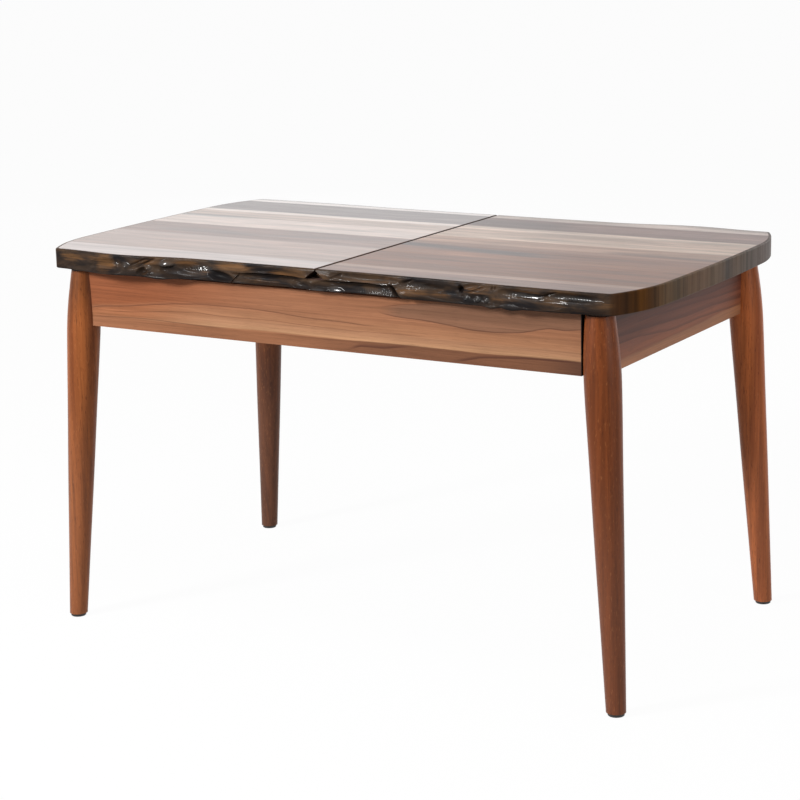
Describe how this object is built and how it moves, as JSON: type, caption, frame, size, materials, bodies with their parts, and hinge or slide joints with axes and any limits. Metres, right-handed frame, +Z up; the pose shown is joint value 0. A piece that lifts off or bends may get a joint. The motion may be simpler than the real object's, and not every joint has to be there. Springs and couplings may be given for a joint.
{
  "type": "extending kitchen table",
  "caption": "Extending kitchen table with a live-edge plank top split across the middle; the halves slide apart over a stored leaf on an apron frame with tapered splayed turned legs",
  "frame": {"origin": "on the floor under the middle of the table", "axes": "+X along the length to the right end, +Y to the back, +Z up"},
  "size_m": [1.274, 0.758, 0.75],
  "materials": {
    "leg_wood": "satin stained beech",
    "apron_wood": "satin walnut veneer",
    "top_wood": "satin walnut planks",
    "edge_wood": "dark carved live edge, gloss",
    "inner_wood": "plain beech",
    "aluminium": "satin",
    "runner_nylon": "matte",
    "steel": "zinc plated",
    "glide_plastic": "matte",
    "pad_felt": "felt"
  },
  "bodies": {
    "frame": {"apron_back": "apron_wood", "apron_front": "apron_wood", "apron_left": "apron_wood", "apron_right": "apron_wood", "bolt_back_left": "steel", "bolt_back_right": "steel", "bolt_front_left": "steel", "bolt_front_right": "steel", "bracket_back_left": "steel", "bracket_back_right": "steel", "bracket_front_left": "steel", "bracket_front_right": "steel", "cross_brace": "inner_wood", "glide_back_left": "glide_plastic", "glide_back_right": "glide_plastic", "glide_front_left": "glide_plastic", "glide_front_right": "glide_plastic", "leaf_bearer_left": "inner_wood", "leaf_bearer_right": "inner_wood", "leg_back_left": "leg_wood", "leg_back_right": "leg_wood", "leg_front_left": "leg_wood", "leg_front_right": "leg_wood", "nut_back_left": "steel", "nut_back_right": "steel", "nut_front_left": "steel", "nut_front_right": "steel", "rail_back": "aluminium", "rail_front": "aluminium", "rest_pad_back_left": "pad_felt", "rest_pad_back_right": "pad_felt", "rest_pad_front_left": "pad_felt", "rest_pad_front_right": "pad_felt"},
    "left_half": {"board_left": "top_wood", "rim_back_left": "edge_wood", "rim_end_left": "edge_wood", "rim_front_left": "edge_wood", "runner_back_left": "runner_nylon", "runner_block_back_left": "inner_wood", "runner_block_front_left": "inner_wood", "runner_front_left": "runner_nylon"},
    "right_half": {"board_right": "top_wood", "rim_back_right": "edge_wood", "rim_end_right": "edge_wood", "rim_front_right": "edge_wood", "runner_back_right": "runner_nylon", "runner_block_back_right": "inner_wood", "runner_block_front_right": "inner_wood", "runner_front_right": "runner_nylon"},
    "leaf": {"leaf": "top_wood"}
  },
  "joints": [
    {"name": "left_slide", "type": "slide", "parent": "frame", "child": "left_half", "axis": [-1, 0, 0], "range_m": [0, 0.166]},
    {"name": "right_slide", "type": "slide", "parent": "frame", "child": "right_half", "axis": [1, 0, 0], "range_m": [0, 0.166]},
    {"name": "leaf_draw", "type": "slide", "parent": "frame", "child": "leaf", "axis": [0, -1, 0], "range_m": [0, 0.78]}
  ]
}
